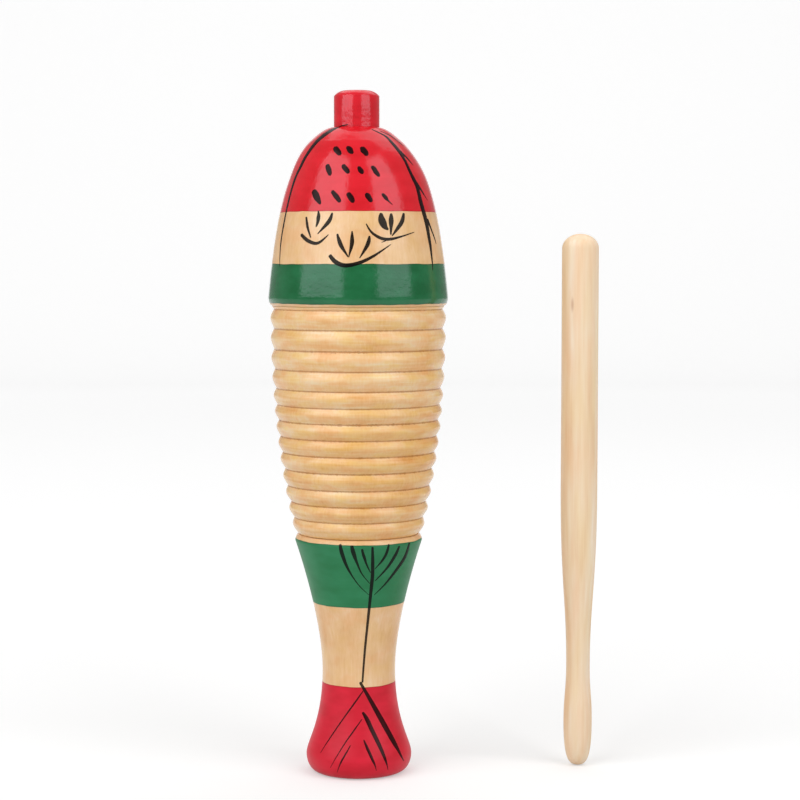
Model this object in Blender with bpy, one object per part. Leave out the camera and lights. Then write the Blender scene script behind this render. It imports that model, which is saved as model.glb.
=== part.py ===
"""Fish-shaped wooden guiro, standing on its tail, with its scraper stick beside it.

Four turned pieces are glued end to end on one axis: the tail handle, the ribbed barrel, the head
and the mouth tube. The bores of the barrel and the head make one sound chamber, which opens through
the mouth. The stick is a loose turned piece. Lengths are in metres, +Z is up, and the origin is the
centre of the tail's foot.
"""

import math

import bmesh
import bpy

# Tail handle, from the foot up
FOOT_DIAMETER = 0.0260
FOOT_ROUND = 0.0052
FLARE_DIAMETER = 0.0327
FLARE_TO_WAIST = 0.0263
WAIST_DIAMETER = 0.0226
WAIST_TO_COLLAR = 0.0406
COLLAR_DIAMETER = 0.0392
COLLAR_HEIGHT = 0.0019
TAIL_TENON = 0.0120

# Ribbed barrel: narrow ribs below, wide ribs above, on a curved taper
NARROW_RIBS = 9
NARROW_RIB_PITCH = 0.0050
WIDE_RIBS = 4
WIDE_RIB_PITCH = 0.00607
GROOVE_DEPTH = 0.0011
BARREL_FOOT_DIAMETER = 0.0394
BARREL_TOP_DIAMETER = 0.0540
BARREL_WALL = 0.0034
NECK_HEIGHT = 0.00064
NECK_RISE = 0.0005
SPIGOT_LENGTH = 0.0100

# Head: rounded rim that stands proud of the ribs, curved side, cone-shaped shoulder
RIM_OVERHANG = 0.0006
RIM_ROUND = 0.0026
RIM_TUCK = 0.0013
SIDE_LENGTH = 0.0472
SHOULDER_DIAMETER = 0.0288
SHOULDER_HEIGHT = 0.0046
MOUTH_LEDGE = 0.0050
DRILL_POINT_SLOPE = 0.60

# Mouth tube, a bored dowel let into the top of the head
MOUTH_BORE = 0.0070
SNOUT_WALL = 0.0035
SNOUT_LENGTH = 0.01108
SNOUT_TENON = 0.0090
LIP_ROUND = 0.0033
LIP_HEIGHT = 0.0027

# Scraper stick, from its tip up
STICK_LENGTH = 0.1666
STICK_DIAMETER = 0.0114
STICK_NECK_DIAMETER = 0.0074
STICK_BEAD_DIAMETER = 0.0089
TIP_DOME = 0.0085
BEAD_TO_NECK = 0.0250
NECK_TO_SHAFT = 0.0420
BUTT_DOME = 0.0045

# Where the stick stands: its gap to the widest part of the body, and its step back
STICK_GAP = 0.0354
STICK_SETBACK = 0.0055

# Painted bands, each measured up from the lower end of its own piece
HEAD_GREEN_TOP = 0.0128
HEAD_BARE_TOP = 0.0285
TAIL_RED_TOP = 0.0280
TAIL_BARE_TOP = 0.0530

# Film of glue between glued faces
GLUE_GAP = 0.0003

# Shape factors of the curves: how far each end holds its direction, as a share of the chord
SIDE_PULL_AT_RIM = 0.56
SIDE_PULL_AT_SHOULDER = 0.20
SIDE_LEAN_AT_RIM = math.radians(5.3)
SIDE_LEAN_AT_SHOULDER = math.radians(44)
SHOULDER_LEAN = math.radians(48.5)
SHOULDER_LEAN_AT_SNOUT = math.radians(80)
SHOULDER_PULL = 0.40
SHOULDER_PULL_AT_SNOUT = 0.32
RIB_CREST_ROUND = 0.42
RIB_CREST_PLACE = 0.55
BARREL_TAPER_POWER = 2.25
WAIST_PULL_UP = 0.40
WAIST_PULL_DOWN = 0.61
FLARE_PULL = 0.135
STICK_PULL = 0.45

# Facets
SIDES = 36
STICK_SIDES = 24
RIB_STEPS = 6
SIDE_STEPS = 12
SHOULDER_STEPS = 4
TAIL_STEPS = 9
ROUND_STEPS = 4
STICK_STEPS = 6

# Sizes that follow from the ones above
TAIL_LENGTH = FOOT_ROUND + FLARE_TO_WAIST + WAIST_TO_COLLAR + COLLAR_HEIGHT
RIBS_LENGTH = NARROW_RIBS * NARROW_RIB_PITCH + WIDE_RIBS * WIDE_RIB_PITCH
BARREL_LENGTH = RIBS_LENGTH + NECK_HEIGHT
HEAD_LENGTH = RIM_ROUND + SIDE_LENGTH + SHOULDER_HEIGHT
BARREL_SEAT = TAIL_LENGTH + GLUE_GAP
HEAD_SEAT = BARREL_SEAT + BARREL_LENGTH + GLUE_GAP
SNOUT_SEAT = HEAD_SEAT + HEAD_LENGTH - SNOUT_TENON
FOOT_GROOVE_RADIUS = BARREL_FOOT_DIAMETER / 2 - GROOVE_DEPTH
TOP_GROOVE_RADIUS = BARREL_TOP_DIAMETER / 2 - GROOVE_DEPTH
CHAMBER_RADIUS = FOOT_GROOVE_RADIUS - BARREL_WALL
SPIGOT_RADIUS = (CHAMBER_RADIUS + TOP_GROOVE_RADIUS) / 2
RIM_RADIUS = BARREL_TOP_DIAMETER / 2 + RIM_OVERHANG
MOUTH_RADIUS = MOUTH_BORE / 2
SNOUT_RADIUS = MOUTH_RADIUS + SNOUT_WALL
STICK_PLACE = RIM_RADIUS + STICK_GAP + STICK_DIAMETER / 2


def rounded(centre, radii, first_degrees, last_degrees, steps):
    """Points (radius, height) along a round or oval arc, without its first point."""
    points = []
    for step in range(1, steps + 1):
        angle = math.radians(first_degrees + (last_degrees - first_degrees) * step / steps)
        points.append((centre[0] + radii[0] * math.cos(angle), centre[1] + radii[1] * math.sin(angle)))
    return points


def swept(start, end, start_lean, end_lean, start_pull, end_pull, steps):
    """Points along a cubic curve, without its first point.

    A lean is the angle from the vertical, opening outwards where the curve runs down; a pull is the
    share of the chord over which the curve holds that direction.
    """
    chord = math.dist(start, end)
    upwards = math.copysign(1.0, end[1] - start[1])
    first = (
        start[0] - upwards * start_pull * chord * math.sin(start_lean),
        start[1] + upwards * start_pull * chord * math.cos(start_lean),
    )
    second = (
        end[0] + upwards * end_pull * chord * math.sin(end_lean),
        end[1] - upwards * end_pull * chord * math.cos(end_lean),
    )
    points = []
    for step in range(1, steps + 1):
        t = step / steps
        weights = ((1 - t) ** 3, 3 * (1 - t) ** 2 * t, 3 * (1 - t) * t**2, t**3)
        controls = (start, first, second, end)
        points.append(tuple(sum(w * c[i] for w, c in zip(weights, controls)) for i in (0, 1)))
    return points


def turned(name, outline, sides, finish):
    """Spin an outline of (radius, height) points about Z into a solid object.

    An outline that starts on the axis also ends on it. Any other outline is a closed loop and gives
    a bored piece.
    """
    shape = bmesh.new()
    points = [shape.verts.new((radius, 0.0, height)) for radius, height in outline]
    for here, there in zip(points, points[1:]):
        shape.edges.new((here, there))
    if outline[0][0] > 0:
        shape.edges.new((points[-1], points[0]))
    bmesh.ops.spin(
        shape,
        geom=shape.verts[:] + shape.edges[:],
        cent=(0, 0, 0),
        axis=(0, 0, 1),
        angle=2 * math.pi,
        steps=sides,
        use_merge=True,
    )
    bmesh.ops.remove_doubles(shape, verts=shape.verts[:], dist=1e-6)
    bmesh.ops.recalc_face_normals(shape, faces=shape.faces[:])
    mesh = bpy.data.meshes.new(name)
    shape.to_mesh(mesh)
    shape.free()
    mesh.materials.append(finish)
    mesh.shade_smooth()
    mesh.set_sharp_from_angle(angle=math.radians(30))
    piece = bpy.data.objects.new(name, mesh)
    bpy.context.scene.collection.objects.link(piece)
    return piece


def painted(piece, bands):
    """Paint bands (finish, lower height, upper height) onto the outside of a turned piece."""
    shape = bmesh.new()
    shape.from_mesh(piece.data)
    borders = {height for _, low, high in bands for height in (low, high)}
    tallest = max(vert.co.z for vert in shape.verts)
    for height in sorted(borders):
        if 0 < height < tallest:
            bmesh.ops.bisect_plane(
                shape,
                geom=shape.verts[:] + shape.edges[:] + shape.faces[:],
                plane_co=(0, 0, height),
                plane_no=(0, 0, 1),
            )
    for slot, (finish, low, high) in enumerate(bands, start=len(piece.data.materials)):
        piece.data.materials.append(finish)
        for face in shape.faces:
            middle = face.calc_center_median()
            faces_out = face.normal.x * middle.x + face.normal.y * middle.y > 0
            if faces_out and low < middle.z < high:
                face.material_index = slot
    shape.to_mesh(piece.data)
    shape.free()


def finish_of(name, colour, roughness):
    """A Principled finish of one linear colour."""
    finish = bpy.data.materials.new(name)
    finish.use_nodes = True
    shader = finish.node_tree.nodes["Principled BSDF"]
    shader.inputs["Base Color"].default_value = (*colour, 1.0)
    shader.inputs["Roughness"].default_value = roughness
    shader.inputs["Metallic"].default_value = 0.0
    finish.diffuse_color = (*colour, 1.0)
    return finish


def tail_outline():
    """Solid handle: flat foot, flared end, waist, collar, and the tenon that plugs the barrel."""
    waist = (WAIST_DIAMETER / 2, FOOT_ROUND + FLARE_TO_WAIST)
    flare = (FLARE_DIAMETER / 2, FOOT_ROUND)
    collar = (COLLAR_DIAMETER / 2, TAIL_LENGTH - COLLAR_HEIGHT)
    foot_radius = FOOT_DIAMETER / 2
    tenon_radius = CHAMBER_RADIUS - GLUE_GAP
    outline = [(0.0, 0.0), (foot_radius, 0.0)]
    outline += rounded((foot_radius, FOOT_ROUND), (flare[0] - foot_radius, FOOT_ROUND), -90, 0, ROUND_STEPS)
    outline += swept(flare, waist, 0, 0, FLARE_PULL, WAIST_PULL_DOWN, TAIL_STEPS)
    outline += swept(waist, collar, 0, 0, WAIST_PULL_UP, 0, TAIL_STEPS)
    outline += [
        (FOOT_GROOVE_RADIUS, TAIL_LENGTH),
        (tenon_radius, TAIL_LENGTH),
        (tenon_radius, TAIL_LENGTH + TAIL_TENON),
        (0.0, TAIL_LENGTH + TAIL_TENON),
    ]
    return outline


def crest_radius(height):
    """Radius of the barrel's rib crests, which taper ever faster from the top down to the foot."""
    below_top = 1 - height / RIBS_LENGTH
    taper = (BARREL_TOP_DIAMETER - BARREL_FOOT_DIAMETER) / 2
    return BARREL_TOP_DIAMETER / 2 - taper * max(below_top, 0.0) ** BARREL_TAPER_POWER


def rib_outline(start, pitch):
    """One rib from groove to groove, without its first point: straight flanks and a rounded crest."""
    whole = math.hypot(1, RIB_CREST_ROUND) - RIB_CREST_ROUND
    points = []
    for step in range(1, RIB_STEPS + 1):
        share = step / RIB_STEPS
        height = start + pitch * share
        flank = 1 - RIB_CREST_PLACE if share > RIB_CREST_PLACE else RIB_CREST_PLACE
        fall = math.hypot((share - RIB_CREST_PLACE) / flank, RIB_CREST_ROUND) - RIB_CREST_ROUND
        points.append((crest_radius(height) - GROOVE_DEPTH * fall / whole, height))
    return points


def barrel_outline():
    """Bored barrel: ribs outside, a plain neck, and a spigot of half the wall to carry the head."""
    outline = [(CHAMBER_RADIUS, 0.0), (FOOT_GROOVE_RADIUS, 0.0)]
    height = 0.0
    for pitch in [NARROW_RIB_PITCH] * NARROW_RIBS + [WIDE_RIB_PITCH] * WIDE_RIBS:
        outline += rib_outline(height, pitch)
        height += pitch
    outline += [
        (TOP_GROOVE_RADIUS + NECK_RISE, BARREL_LENGTH),
        (SPIGOT_RADIUS, BARREL_LENGTH),
        (SPIGOT_RADIUS, BARREL_LENGTH + SPIGOT_LENGTH),
        (CHAMBER_RADIUS, BARREL_LENGTH + SPIGOT_LENGTH),
    ]
    return outline


def head_outline():
    """Hollow head: socket for the spigot, drilled chamber, mouth passage and the snout's hole."""
    under_radius = RIM_RADIUS - RIM_TUCK
    shoulder = (SHOULDER_DIAMETER / 2, RIM_ROUND + SIDE_LENGTH)
    socket_radius = SPIGOT_RADIUS + GLUE_GAP
    socket_top = SPIGOT_LENGTH + GLUE_GAP
    hole_radius = SNOUT_RADIUS + GLUE_GAP
    hole_floor = HEAD_LENGTH - SNOUT_TENON - GLUE_GAP
    passage_foot = hole_floor - MOUTH_LEDGE
    drill_foot = passage_foot - (CHAMBER_RADIUS - MOUTH_RADIUS) * DRILL_POINT_SLOPE
    outline = [(socket_radius, 0.0), (under_radius, 0.0)]
    outline += rounded((under_radius, RIM_ROUND), (RIM_TUCK, RIM_ROUND), -90, 0, ROUND_STEPS)
    outline += swept(
        (RIM_RADIUS, RIM_ROUND),
        shoulder,
        SIDE_LEAN_AT_RIM,
        SIDE_LEAN_AT_SHOULDER,
        SIDE_PULL_AT_RIM,
        SIDE_PULL_AT_SHOULDER,
        SIDE_STEPS,
    )
    outline += swept(
        shoulder,
        (hole_radius, HEAD_LENGTH),
        SHOULDER_LEAN,
        SHOULDER_LEAN_AT_SNOUT,
        SHOULDER_PULL,
        SHOULDER_PULL_AT_SNOUT,
        SHOULDER_STEPS,
    )
    outline += [
        (hole_radius, hole_floor),
        (MOUTH_RADIUS, hole_floor),
        (MOUTH_RADIUS, passage_foot),
        (CHAMBER_RADIUS, drill_foot),
        (CHAMBER_RADIUS, socket_top),
        (socket_radius, socket_top),
    ]
    return outline


def snout_outline():
    """Bored dowel with a rounded lip; its lower part is the tenon in the head."""
    top = SNOUT_TENON + SNOUT_LENGTH
    lip = min(LIP_ROUND, SNOUT_WALL * 0.95)
    outline = [(MOUTH_RADIUS, 0.0), (SNOUT_RADIUS, 0.0), (SNOUT_RADIUS, top - LIP_HEIGHT)]
    outline += rounded((SNOUT_RADIUS - lip, top - LIP_HEIGHT), (lip, LIP_HEIGHT), 0, 90, ROUND_STEPS)
    outline += [(MOUTH_RADIUS, top)]
    return outline


def stick_outline():
    """Turned stick: rounded bead at the tip, slim neck, straight shaft, domed butt."""
    bead = (STICK_BEAD_DIAMETER / 2, TIP_DOME)
    neck = (STICK_NECK_DIAMETER / 2, TIP_DOME + BEAD_TO_NECK)
    shaft = (STICK_DIAMETER / 2, TIP_DOME + BEAD_TO_NECK + NECK_TO_SHAFT)
    butt = (STICK_DIAMETER / 2, STICK_LENGTH - BUTT_DOME)
    outline = [(0.0, 0.0)]
    outline += rounded((0.0, TIP_DOME), bead, -90, 0, ROUND_STEPS + 1)
    outline += swept(bead, neck, 0, 0, STICK_PULL, STICK_PULL, STICK_STEPS)
    outline += swept(neck, shaft, 0, 0, STICK_PULL, STICK_PULL, STICK_STEPS)
    outline += [butt]
    outline += rounded((0.0, butt[1]), (butt[0], BUTT_DOME), 0, 90, ROUND_STEPS)
    outline[-1] = (0.0, STICK_LENGTH)
    return outline


def build():
    for old in list(bpy.data.objects):
        bpy.data.objects.remove(old)

    wood = finish_of("lacquered_wood", (0.77, 0.48, 0.22), 0.42)
    pale_wood = finish_of("bare_stick_wood", (0.84, 0.60, 0.34), 0.55)
    red = finish_of("red_gloss_paint", (0.69, 0.014, 0.026), 0.28)
    green = finish_of("green_gloss_paint", (0.020, 0.165, 0.060), 0.28)

    tail = turned("tail_handle", tail_outline(), SIDES, wood)
    painted(tail, [(red, 0.0, TAIL_RED_TOP), (green, TAIL_BARE_TOP, TAIL_LENGTH - COLLAR_HEIGHT)])

    barrel = turned("ribbed_barrel", barrel_outline(), SIDES, wood)
    barrel.location.z = BARREL_SEAT

    head = turned("head", head_outline(), SIDES, wood)
    painted(head, [(green, 0.0, HEAD_GREEN_TOP), (red, HEAD_BARE_TOP, HEAD_LENGTH)])
    head.location.z = HEAD_SEAT

    snout = turned("mouth_tube", snout_outline(), SIDES, wood)
    painted(snout, [(red, SNOUT_TENON, SNOUT_TENON + SNOUT_LENGTH)])
    snout.location.z = SNOUT_SEAT

    stick = turned("scraper_stick", stick_outline(), STICK_SIDES, pale_wood)
    stick.location = (STICK_PLACE, STICK_SETBACK, 0.0)

    guiro = bpy.data.objects.new("guiro_axis", None)
    bpy.context.scene.collection.objects.link(guiro)
    for piece in (tail, barrel, head, snout):
        piece.parent = guiro


build()
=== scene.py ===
import math
import random

import bpy
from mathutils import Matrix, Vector, noise
from mathutils.bvhtree import BVHTree


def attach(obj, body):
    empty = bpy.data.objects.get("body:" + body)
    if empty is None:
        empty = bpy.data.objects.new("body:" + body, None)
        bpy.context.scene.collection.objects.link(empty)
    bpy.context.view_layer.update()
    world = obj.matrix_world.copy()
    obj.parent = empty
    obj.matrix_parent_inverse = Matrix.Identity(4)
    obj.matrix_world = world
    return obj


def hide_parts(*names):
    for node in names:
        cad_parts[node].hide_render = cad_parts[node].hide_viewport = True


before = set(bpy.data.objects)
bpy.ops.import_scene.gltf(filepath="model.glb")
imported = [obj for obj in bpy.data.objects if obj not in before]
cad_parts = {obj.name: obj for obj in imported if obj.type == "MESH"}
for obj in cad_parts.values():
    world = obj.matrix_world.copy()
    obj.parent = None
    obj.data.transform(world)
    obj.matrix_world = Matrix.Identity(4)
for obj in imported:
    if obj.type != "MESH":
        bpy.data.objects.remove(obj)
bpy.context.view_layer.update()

mm = 0.001
print("frame loaded:", ", ".join(sorted(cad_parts)))


def linearColour(hexCode):  # sRGB hex to the linear values that a shader takes
    channels = [int(hexCode[i:i + 2], 16) / 255 for i in (1, 3, 5)]
    linear = [c / 12.92 if c <= 0.04045 else ((c + 0.055) / 1.055) ** 2.4 for c in channels]
    return (*linear, 1.0)


def clearSelection():
    if bpy.context.object and bpy.context.object.mode != "OBJECT":
        bpy.ops.object.mode_set(mode="OBJECT")
    bpy.ops.object.select_all(action="DESELECT")


def makeActive(piece):
    clearSelection()
    piece.select_set(True)
    bpy.context.view_layer.objects.active = piece


# the camera stands a little above the head and looks slightly down, as in the photograph
cameraSetup = {
    "place": (12.82 * mm, -643.3 * mm, 161.25 * mm),
    "tiltDown": 4.078,  # degrees
    "lens": 94.05,  # mm
    "sensor": 36.0,  # mm
    "frame": 800,  # pixels each way
    "nearest": 0.01, "farthest": 50,  # m
}

clearSelection()
bpy.ops.object.camera_add(location=cameraSetup["place"])
camera = bpy.context.object
camera.name = "photoCamera"
camera.rotation_euler = (math.radians(90 - cameraSetup["tiltDown"]), 0, 0)
camera.data.lens = cameraSetup["lens"]
camera.data.sensor_width = cameraSetup["sensor"]
camera.data.clip_start = cameraSetup["nearest"]
camera.data.clip_end = cameraSetup["farthest"]
camera.data.dof.use_dof = False
bpy.context.scene.camera = camera
bpy.context.scene.view_settings.view_transform = "Standard"
bpy.context.view_layer.update()
print("camera placed")


# one node with its settings, and the (node, output) that feeds each linked input
def addNode(tree, kind, settings={}, links={}):
    node = tree.nodes.new("ShaderNode" + kind)
    for name, value in settings.items():
        if name == "stops":  # (place, hex colour) pairs of a colour ramp
            elements = node.color_ramp.elements
            while len(elements) < len(value):
                elements.new(0.5)
            for element, (place, hexCode) in zip(elements, value):
                element.position = place
                element.color = linearColour(hexCode)
        elif isinstance(name, str) and hasattr(node, name):
            setattr(node, name, value)
        else:
            node.inputs[name].default_value = value
    for name, (source, output) in links.items():
        tree.links.new(source.outputs[output], node.inputs[name])
    return node


def newFinish(name):
    material = bpy.data.materials.new(name)
    material.use_nodes = True
    material.node_tree.nodes.clear()
    return material, material.node_tree, addNode(material.node_tree, "TexCoord")


# unevenness whose patches are this many mm wide round the axis and tall along it
def cloudy(tree, coords, around, along, detail=2.0, rough=0.5):
    size = (1 / (around * mm), 1 / (around * mm), 1 / (along * mm))
    spread = addNode(tree, "Mapping", {"Scale": size}, {"Vector": (coords, "Object")})
    settings = {"Scale": 1.0, "Detail": detail, "Roughness": rough}
    return addNode(tree, "TexNoise", settings, {"Vector": (spread, "Vector")})


# pale close-grained hardwood off the lathe: soft mottling, faint streaks round the axis and
# short fibres along it; each patch is so many mm wide round the axis and tall along it
barrelWood = {
    "streaks": (15.0, 0.8), "mottle": (12.0, 5.0), "fibres": (0.6, 6.0),
    "mottleShare": 0.55, "fibreShare": 0.20,
    "tones": [(0.34, "#E0A966"), (0.45, "#EABC81"), (0.54, "#EEC895"), (0.66, "#F0D5AD")],
    "blush": (7.0, 2.4), "tinges": [(0.36, "#FFF3EA"), (0.5, "#FFFFFF"), (0.64, "#FFFDE6")],
}
# warmer wood in the lower ribs of one side, less so near the foot; heights and places in mm
heartwood = {
    "top": 110.6, "full": 108.4, "fading": 99.0, "foot": 84.0, "footShare": 0.35,
    "left": -24.0, "leftShare": 0.1, "right": 20.0, "tint": "#FAEED2",
}
bandWood = {
    "streaks": (2.2, 16.0), "mottle": (9.0, 9.0), "fibres": (0.45, 5.0),
    "mottleShare": 0.62, "fibreShare": 0.22,
    "tones": [(0.30, "#DDAB74"), (0.45, "#E7BA86"), (0.57, "#EDC496"), (0.72, "#F2D3AE")],
    "blush": (8.0, 6.0), "tinges": [(0.36, "#FFF7F0"), (0.5, "#FFFFFF"), (0.64, "#FFFFF6")],
}
stickWood = {
    "streaks": (1.2, 45.0), "mottle": (4.0, 40.0), "fibres": (0.35, 8.0),
    "mottleShare": 0.65, "fibreShare": 0.10,
    "tones": [(0.33, "#EAC79E"), (0.46, "#F1D5B1"), (0.57, "#F5DEC1"), (0.70, "#FAEBD8")],
    "blush": (5.0, 30.0), "tinges": [(0.36, "#FFF7F1"), (0.5, "#FFFEFC"), (0.64, "#FFFEF6")],
}


# tones from dark to light, tinged with pink here and yellow there
def woodGrain(tree, coords, wood):
    streaks = cloudy(tree, coords, *wood["streaks"], detail=4.0, rough=0.6)
    mottle = cloudy(tree, coords, *wood["mottle"])
    fibres = cloudy(tree, coords, *wood["fibres"], rough=0.6)
    broad = addNode(
        tree, "Mix", {"data_type": "FLOAT", 0: wood["mottleShare"]},
        {2: (streaks, "Fac"), 3: (mottle, "Fac")},
    )
    grain = addNode(
        tree, "Mix", {"data_type": "FLOAT", 0: wood["fibreShare"]},
        {2: (broad, 0), 3: (fibres, "Fac")},
    )
    tone = addNode(tree, "ValToRGB", {"stops": wood["tones"]}, {"Fac": (grain, 0)})
    blush = cloudy(tree, coords, *wood["blush"])
    tinge = addNode(tree, "ValToRGB", {"stops": wood["tinges"]}, {"Fac": (blush, "Fac")})
    tinged = addNode(
        tree, "Mix", {"data_type": "RGBA", "blend_type": "MULTIPLY", 0: 1.0},
        {6: (tone, 0), 7: (tinge, 0)},
    )
    return tinged, grain


enamel = {
    "brushLines": (16.0, 0.45), "brushDepth": 0.012,  # mm
    "pooling": (9.0, 4.0),  # mm, where the coat is thicker or thinner
    "ripple": (1.3, 1.0),  # mm, the stipple that frays the edges of reflections
    "sway": 8.0, "swayDepth": 0.28, "edge": 0.06,  # mm, the hand-cut borders of the bands
    "bead": 0.22, "beadShade": 0.62,  # mm, the darker line where paint gathers along a border
    "shineTint": "#E8F2FF",
}
lacquer = {
    "roughness": 0.22, "ior": 1.5,
    "latheMarks": (18.0, 0.6), "markDepth": 0.02, "pools": (4.0, 2.2), "poolDepth": 0.06,  # mm
}
# painted brown shade in the grooves: it starts and is full at these shares of a groove's depth
paintedGrooveShade = {
    "colour": "#A3621E", "starts": 0.82, "full": 0.99, "cover": 0.66,
    "shadeBreakup": (0.6, 0.45), "unevenness": 0.06,  # mm, and a share of the depth
}
blackPaint = {"colour": "#0A090A", "pooling": (1.4, 1.4), "roughness": 0.22, "ior": 1.22}  # mm


# colour of bare wood with enamel bands on it, darker where paint has gathered along a border
def paintedBands(tree, coords, bands, paints):
    wood, _ = woodGrain(tree, coords, bandWood)
    place = addNode(tree, "SeparateXYZ", {}, {"Vector": (coords, "Object")})
    sway = cloudy(tree, coords, enamel["sway"], enamel["sway"])
    reach = {"To Min": -enamel["swayDepth"] * mm, "To Max": enamel["swayDepth"] * mm}
    shift = addNode(tree, "MapRange", reach, {"Value": (sway, "Fac")})
    height = addNode(tree, "Math", {"operation": "ADD"}, {0: (place, "Z"), 1: (shift, 0)})
    pooling = cloudy(tree, coords, *enamel["pooling"])
    colour, painted = (wood, 2), None
    for paint, low, high in bands:
        masks = []
        for inset, soft in ((0.0, enamel["edge"]), (enamel["bead"], enamel["bead"])):
            steps = {"interpolation_type": "SMOOTHSTEP"}
            rise = {"From Min": (low + inset - soft) * mm, "From Max": (low + inset + soft) * mm}
            fall = {"From Min": (high - inset + soft) * mm, "From Max": (high - inset - soft) * mm}
            above = addNode(tree, "MapRange", {**steps, **rise}, {"Value": (height, 0)})
            below = addNode(tree, "MapRange", {**steps, **fall}, {"Value": (height, 0)})
            ends = {0: (above, 0), 1: (below, 0)}
            masks.append(addNode(tree, "Math", {"operation": "MULTIPLY"}, ends))
        inside, middle = masks
        coat = addNode(tree, "ValToRGB", {"stops": paints[paint]}, {"Fac": (pooling, "Fac")})
        shade = {"To Min": enamel["beadShade"], "To Max": 1.0}
        thin = addNode(tree, "MapRange", shade, {"Value": (middle, 0)})
        shaded = {0: (coat, 0), "Scale": (thin, 0)}
        full = addNode(tree, "VectorMath", {"operation": "SCALE"}, shaded)
        layers = {0: (inside, 0), 6: colour, 7: (full, 0)}
        colour = (addNode(tree, "Mix", {"data_type": "RGBA"}, layers), 2)
        both = {0: (painted or inside, 0), 1: (inside, 0)}
        painted = addNode(tree, "Math", {"operation": "MAXIMUM"}, both)
    return colour, painted


# gloss enamel brushed in bands on to turned wood: deep even colour, clear reflections,
# faint brush lines
def brushedEnamel(name, piece):
    material, tree, coords = newFinish(name)
    colour, painted = paintedBands(tree, coords, piece["bands"], piece["paints"])
    shine = {"To Min": lacquer["roughness"], "To Max": piece["gloss"]}
    roughness = addNode(tree, "MapRange", shine, {"Value": (painted, 0)})
    lines = cloudy(tree, coords, *enamel["brushLines"], detail=3.0)
    ripple = cloudy(tree, coords, *enamel["ripple"])
    brushed = addNode(
        tree, "Bump", {"Distance": enamel["brushDepth"] * mm}, {"Height": (lines, "Fac")},
    )
    surface = addNode(
        tree, "Bump", {"Distance": piece["stipple"] * mm},
        {"Height": (ripple, "Fac"), "Normal": (brushed, "Normal")},
    )
    shader = addNode(
        tree, "BsdfPrincipled",
        {"IOR": piece["ior"], "Specular Tint": linearColour(enamel["shineTint"])},
        {"Base Color": colour, "Roughness": (roughness, 0), "Normal": (surface, "Normal")},
    )
    addNode(tree, "OutputMaterial", {}, {"Surface": (shader, 0)})
    return material


# turned wood under thin clear lacquer: satin light on the ribs, lathe marks, torn grain in the
# grooves, and painted brown shade along the groove bottoms and over the torn grain
def lacqueredRibs(name):
    material, tree, coords = newFinish(name)
    pale, _ = woodGrain(tree, coords, barrelWood)
    place = addNode(tree, "SeparateXYZ", {}, {"Vector": (coords, "Object")})
    soft = {"interpolation_type": "SMOOTHSTEP"}
    low = {"From Min": heartwood["top"] * mm, "From Max": heartwood["full"] * mm}
    lower = addNode(tree, "MapRange", {**soft, **low}, {"Value": (place, "Z")})
    across = {
        "From Min": heartwood["left"] * mm, "From Max": heartwood["right"] * mm,
        "To Min": heartwood["leftShare"],
    }
    toRight = addNode(tree, "MapRange", across, {"Value": (place, "X")})
    fade = {
        "From Min": heartwood["foot"] * mm, "From Max": heartwood["fading"] * mm,
        "To Min": heartwood["footShare"],
    }
    upper = addNode(tree, "MapRange", {**soft, **fade}, {"Value": (place, "Z")})
    between = addNode(tree, "Math", {"operation": "MULTIPLY"}, {0: (lower, 0), 1: (upper, 0)})
    warm = addNode(tree, "Math", {"operation": "MULTIPLY"}, {0: (between, 0), 1: (toRight, 0)})
    wood = addNode(
        tree, "Mix",
        {"data_type": "RGBA", "blend_type": "MULTIPLY", 7: linearColour(heartwood["tint"])},
        {0: (warm, 0), 6: (pale, 2)},
    )
    # painted shade: brown laid on by groove depth, fullest at each groove's bottom and over torn
    # grain, broken up by noise
    groove = addNode(tree, "Attribute", {"attribute_name": "grooveDepth"})
    torn = addNode(tree, "Attribute", {"attribute_name": "tornGrain"})
    shadeBreakup = cloudy(tree, coords, *paintedGrooveShade["shadeBreakup"])
    swing = {"To Min": -paintedGrooveShade["unevenness"], "To Max": paintedGrooveShade["unevenness"]}
    uneven = addNode(tree, "MapRange", swing, {"Value": (shadeBreakup, "Fac")})
    unevenDepth = addNode(tree, "Math", {"operation": "ADD"}, {0: (groove, "Fac"), 1: (uneven, 0)})
    depth = addNode(tree, "Math", {"operation": "ADD"}, {0: (unevenDepth, 0), 1: (torn, "Fac")})
    edges = {
        "From Min": paintedGrooveShade["starts"], "From Max": paintedGrooveShade["full"],
        "To Max": paintedGrooveShade["cover"],
    }
    grooveShadeMask = addNode(tree, "MapRange", {**soft, **edges}, {"Value": (depth, 0)})
    colour = addNode(
        tree, "Mix", {"data_type": "RGBA", 7: linearColour(paintedGrooveShade["colour"])},
        {0: (grooveShadeMask, 0), 6: (wood, 2)},
    )
    marks = cloudy(tree, coords, *lacquer["latheMarks"], detail=3.0)
    pools = cloudy(tree, coords, *lacquer["pools"])
    turned = addNode(
        tree, "Bump", {"Distance": lacquer["markDepth"] * mm}, {"Height": (marks, "Fac")},
    )
    surface = addNode(
        tree, "Bump", {"Distance": lacquer["poolDepth"] * mm},
        {"Height": (pools, "Fac"), "Normal": (turned, "Normal")},
    )
    shader = addNode(
        tree, "BsdfPrincipled", {"IOR": lacquer["ior"], "Roughness": lacquer["roughness"]},
        {"Base Color": (colour, 2), "Normal": (surface, "Normal")},
    )
    addNode(tree, "OutputMaterial", {}, {"Surface": (shader, 0)})
    return material


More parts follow.
